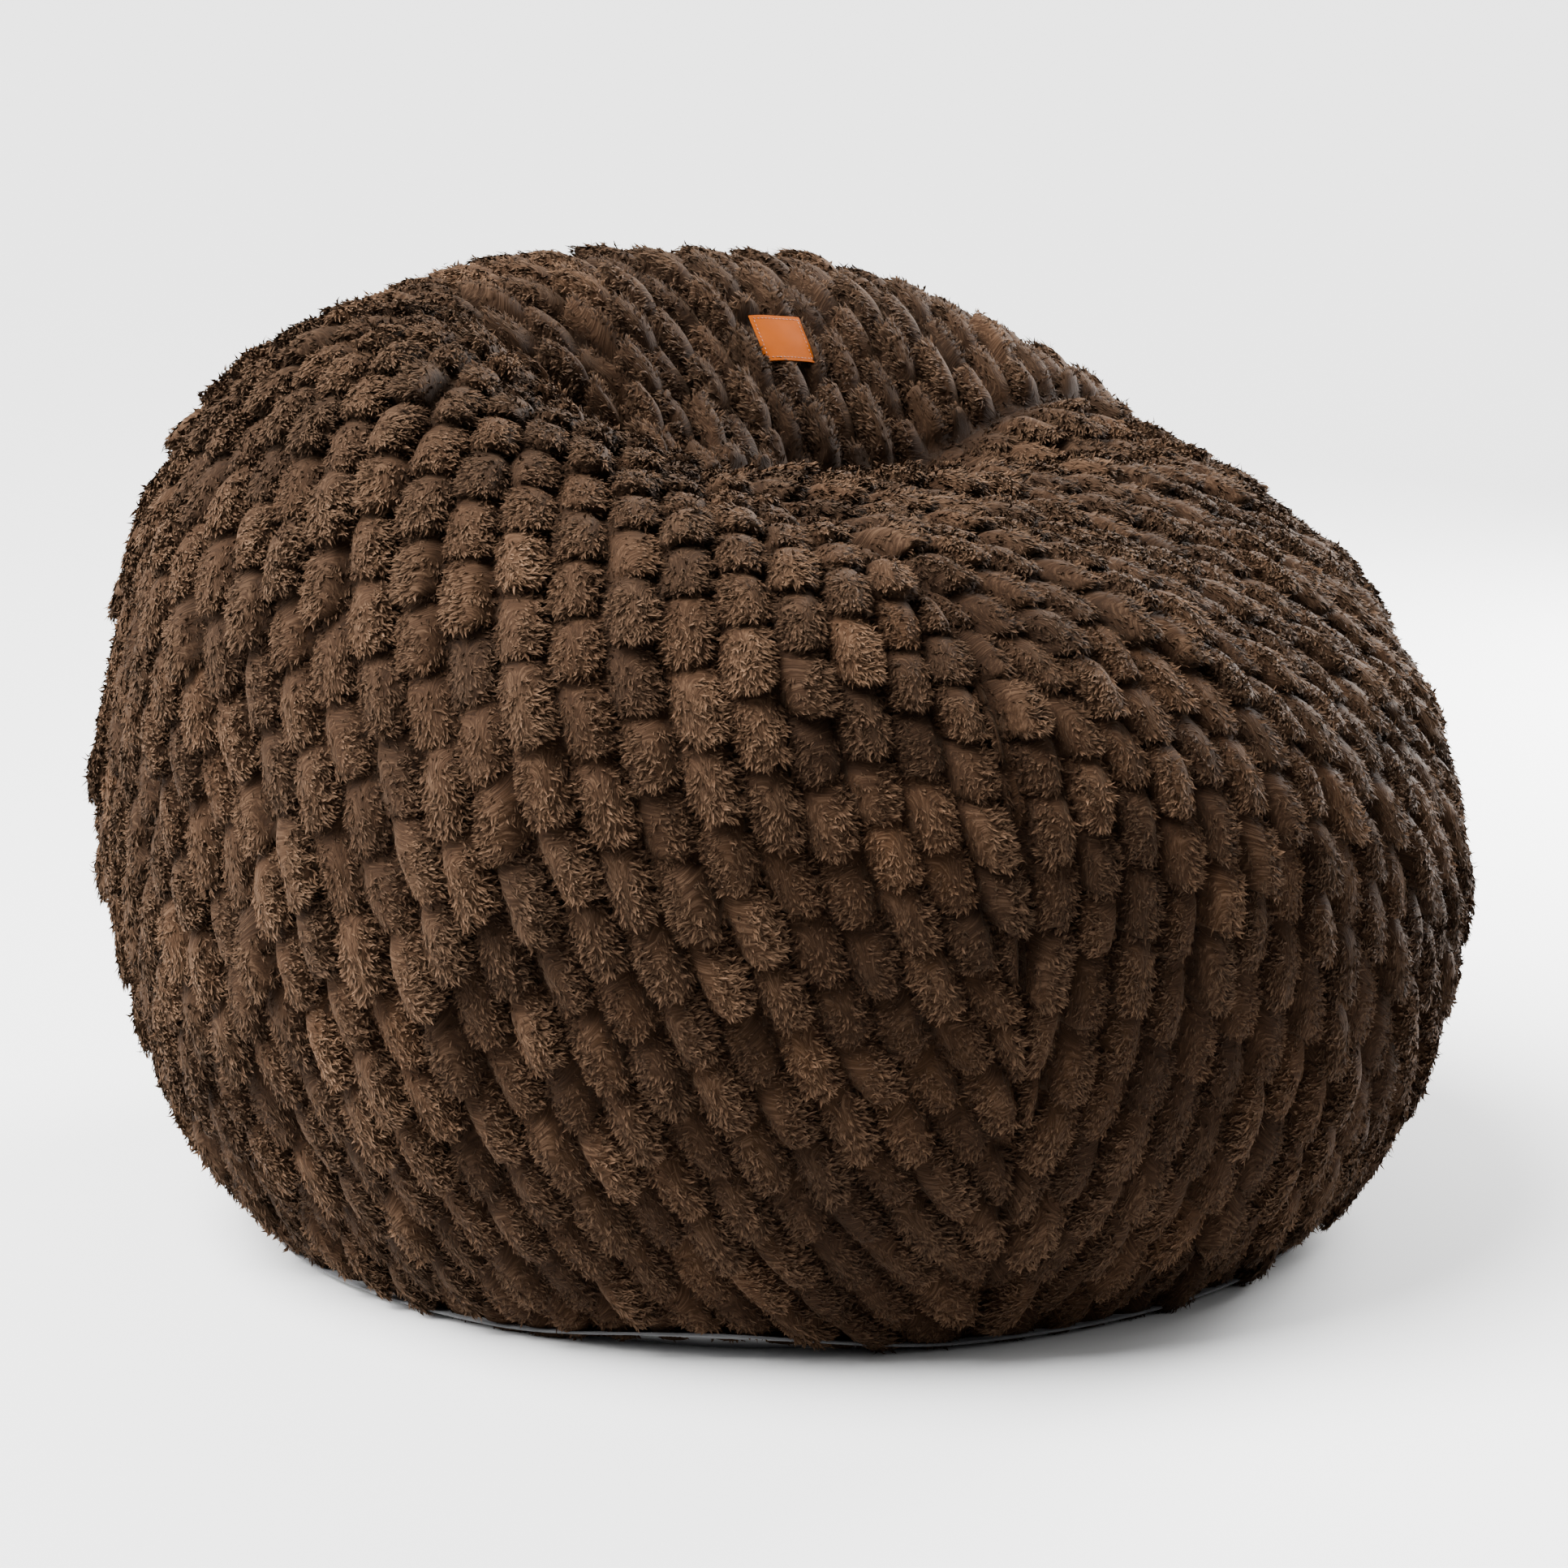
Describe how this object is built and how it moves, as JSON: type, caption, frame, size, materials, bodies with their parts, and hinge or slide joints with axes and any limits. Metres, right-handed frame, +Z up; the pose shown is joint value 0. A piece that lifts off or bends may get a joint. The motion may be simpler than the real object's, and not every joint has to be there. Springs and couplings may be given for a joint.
{
  "type": "bean bag chair",
  "caption": "Large plush bean bag chair: gored faux-fur cover over a zipped inner liner with a foam fill, grey cloth base with a recessed zip",
  "frame": {"origin": "middle of the bounding box, on the floor under the bag", "axes": "+Z up, the seat faces -Y, +X is the sitter's left as the bag is seen from the front on the right"},
  "size_m": [0.9678, 0.9688, 0.6701],
  "materials": {
    "plush": "dark brown sculpted faux fur, long soft pile in brick-set tufts",
    "base_cloth": "grey short-pile microfibre",
    "zip_tape": "black woven polyester tape",
    "zip_teeth": "black moulded teeth",
    "zip_metal": "nickel-plated zinc",
    "woven_label": "orange woven label, left blank",
    "label_thread": "orange sewing thread",
    "care_cloth": "white satin care label, left blank",
    "liner_cloth": "white woven polyester",
    "liner_tape": "white woven zip tape",
    "liner_coil": "white nylon coil",
    "foam": "shredded polyurethane foam"
  },
  "bodies": {
    "bag": {"cover_gore_left": "plush", "cover_gore_right": "plush", "cover_gore_back": "plush", "base_panel_front": "base_cloth", "base_panel_rear": "base_cloth", "zip_tape_front": "zip_tape", "zip_tape_rear": "zip_tape", "zip_teeth_front": "zip_teeth", "zip_teeth_rear": "zip_teeth", "zip_stops": "zip_metal", "brand_label": "woven_label", "label_stitching": "label_thread", "care_label": "care_cloth", "liner_gore_left": "liner_cloth", "liner_gore_right": "liner_cloth", "liner_gore_back": "liner_cloth", "liner_base": "liner_cloth", "liner_zip_tape_front": "liner_tape", "liner_zip_tape_rear": "liner_tape", "liner_coil_front": "liner_coil", "liner_coil_rear": "liner_coil", "liner_zip_stops": "zip_metal", "foam_fill": "foam"},
    "slider": {"zip_slider": "zip_metal"},
    "pull": {"zip_pull_tab": "zip_metal"},
    "liner_slider": {"liner_zip_slider": "zip_metal"}
  },
  "joints": [
    {"name": "zip_travel", "type": "slide", "parent": "bag", "child": "slider", "axis": [1, 0, 0], "range_m": [-0.542, 0]},
    {"name": "pull_swing", "type": "hinge", "parent": "slider", "child": "pull", "pos_m": [0.272, 0, 0.0048], "axis": [0, 1, 0], "range_deg": [-90, 0]},
    {"name": "liner_zip_travel", "type": "slide", "parent": "bag", "child": "liner_slider", "axis": [1, 0, 0], "range_m": [-0.445, 0]}
  ]
}
